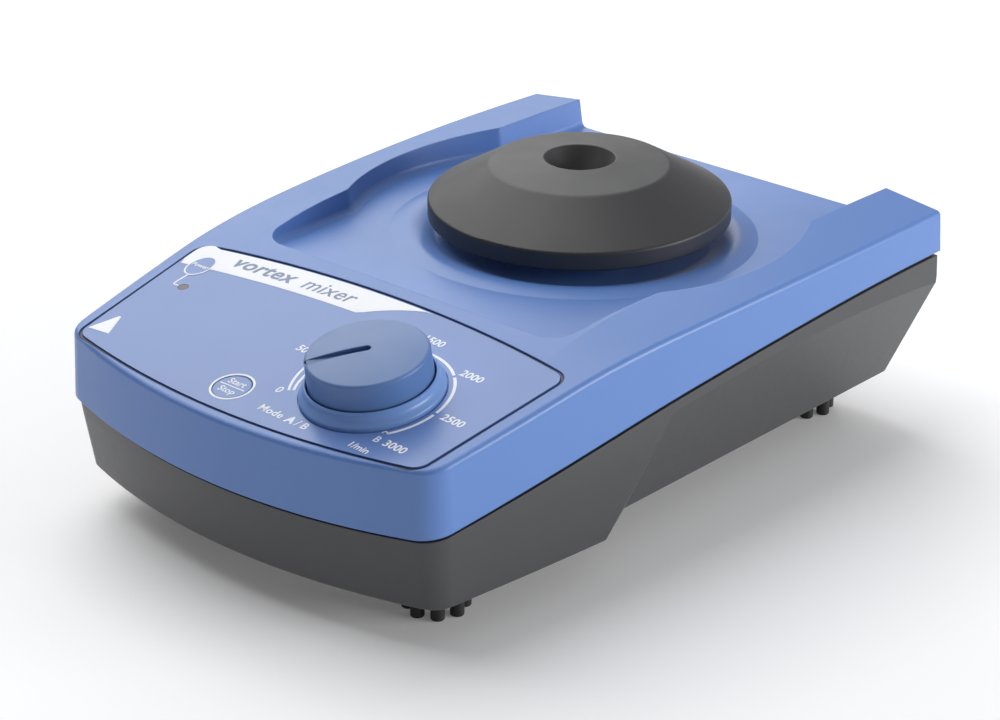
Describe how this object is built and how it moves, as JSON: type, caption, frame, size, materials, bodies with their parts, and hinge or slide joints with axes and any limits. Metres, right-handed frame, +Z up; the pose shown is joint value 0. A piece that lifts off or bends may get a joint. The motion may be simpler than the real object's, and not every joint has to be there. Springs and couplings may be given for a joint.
{
  "type": "vortex mixer",
  "caption": "Flat orbital tube shaker: blue cover over a grey base, a dished round platform on an eccentric drive, and a tilted panel with a speed knob and a start key.",
  "frame": {"origin": "on the table, at the centre of the housing's footprint", "axes": "+Z up, -Y towards the user and the control panel, +X to the right as seen by the user"},
  "size_m": [0.148, 0.205, 0.077],
  "materials": {
    "base_plastic": "fine matt grain",
    "cover_plastic": "satin, fine grain",
    "black_rubber": "matt",
    "groove_rubber": "matt",
    "panel_foil": "satin foil",
    "black_plastic": "matt",
    "steel": "machined",
    "light_pipe": "clear",
    "circuit_board": "varnished",
    "aluminium_plate": "machined",
    "bronze": "sintered",
    "motor_paint": "satin",
    "iron": "as cast",
    "label_foil": "satin foil, blank",
    "carrier_plastic": "moulded",
    "cap_rubber": "soft matt",
    "knob_plastic": "satin",
    "print_white": "print",
    "key_plastic": "satin foil"
  },
  "bodies": {
    "housing": {"base_housing": "base_plastic", "top_cover": "cover_plastic", "seam_gasket": "black_rubber", "control_foil": "panel_foil", "panel_gasket": "groove_rubber", "knob_collar": "cover_plastic", "speed_potentiometer": "black_plastic", "potentiometer_nut": "steel", "key_switch": "black_plastic", "power_light_pipe": "light_pipe", "control_board": "circuit_board", "board_screws": "steel", "chassis_plate": "aluminium_plate", "chassis_screws": "steel", "crank_bushes": "bronze", "motor_can": "motor_paint", "motor_stator": "bronze", "motor_screws": "steel", "power_board": "circuit_board", "power_screws": "steel", "dc_jack": "black_plastic", "ballast_plate": "iron", "wire_link": "black_plastic", "case_screws": "steel", "foot_front_left": "black_rubber", "foot_front_right": "black_rubber", "foot_rear_left": "black_rubber", "foot_rear_right": "black_rubber", "type_plate": "label_foil"},
    "drive_rotor": {"rotor_shaft": "steel", "counterweight": "steel"},
    "orbit_carrier": {"carrier": "carrier_plastic", "eccentric_bearing": "steel"},
    "rear_crank": {"crank_rear": "steel"},
    "left_crank": {"crank_left": "steel"},
    "right_crank": {"crank_right": "steel"},
    "platform": {"attachment_cap": "cap_rubber", "attachment_plate": "aluminium_plate"},
    "speed_knob": {"knob": "knob_plastic", "knob_pointer": "print_white", "knob_shaft": "steel"},
    "start_stop_button": {"start_stop_key": "key_plastic"}
  },
  "joints": [
    {"name": "rotor_spin", "type": "hinge", "parent": "housing", "child": "drive_rotor", "pos_m": [0, 0.034, 0.047], "axis": [0, 0, 1], "continuous": true},
    {"name": "carrier_turn", "type": "hinge", "parent": "drive_rotor", "child": "orbit_carrier", "pos_m": [0, 0.03625, 0.05], "axis": [0, 0, 1], "continuous": true},
    {"name": "rear_crank_spin", "type": "hinge", "parent": "housing", "child": "rear_crank", "pos_m": [0, 0.068, 0.041], "axis": [0, 0, 1], "continuous": true},
    {"name": "left_crank_spin", "type": "hinge", "parent": "housing", "child": "left_crank", "pos_m": [-0.02944, 0.017, 0.041], "axis": [0, 0, 1], "continuous": true},
    {"name": "right_crank_spin", "type": "hinge", "parent": "housing", "child": "right_crank", "pos_m": [0.02944, 0.017, 0.041], "axis": [0, 0, 1], "continuous": true},
    {"name": "attachment_lift", "type": "slide", "parent": "orbit_carrier", "child": "platform", "axis": [0, 0, 1], "range_m": [0, 0.035]},
    {"name": "knob_turn", "type": "hinge", "parent": "housing", "child": "speed_knob", "pos_m": [0.0265, -0.07365, 0.05902], "axis": [0, -0.1666, 0.986], "range_deg": [-267, 0]},
    {"name": "start_stop_press", "type": "slide", "parent": "housing", "child": "start_stop_button", "axis": [0, 0.1666, -0.986], "range_m": [0, 0.0006], "stiffness_N_per_m": 1500, "springref_m": -0.0005}
  ],
  "couplings": [
    {"joint": "carrier_turn", "follows": "rotor_spin", "ratio": -1},
    {"joint": "rear_crank_spin", "follows": "rotor_spin", "ratio": 1},
    {"joint": "left_crank_spin", "follows": "rotor_spin", "ratio": 1},
    {"joint": "right_crank_spin", "follows": "rotor_spin", "ratio": 1}
  ]
}
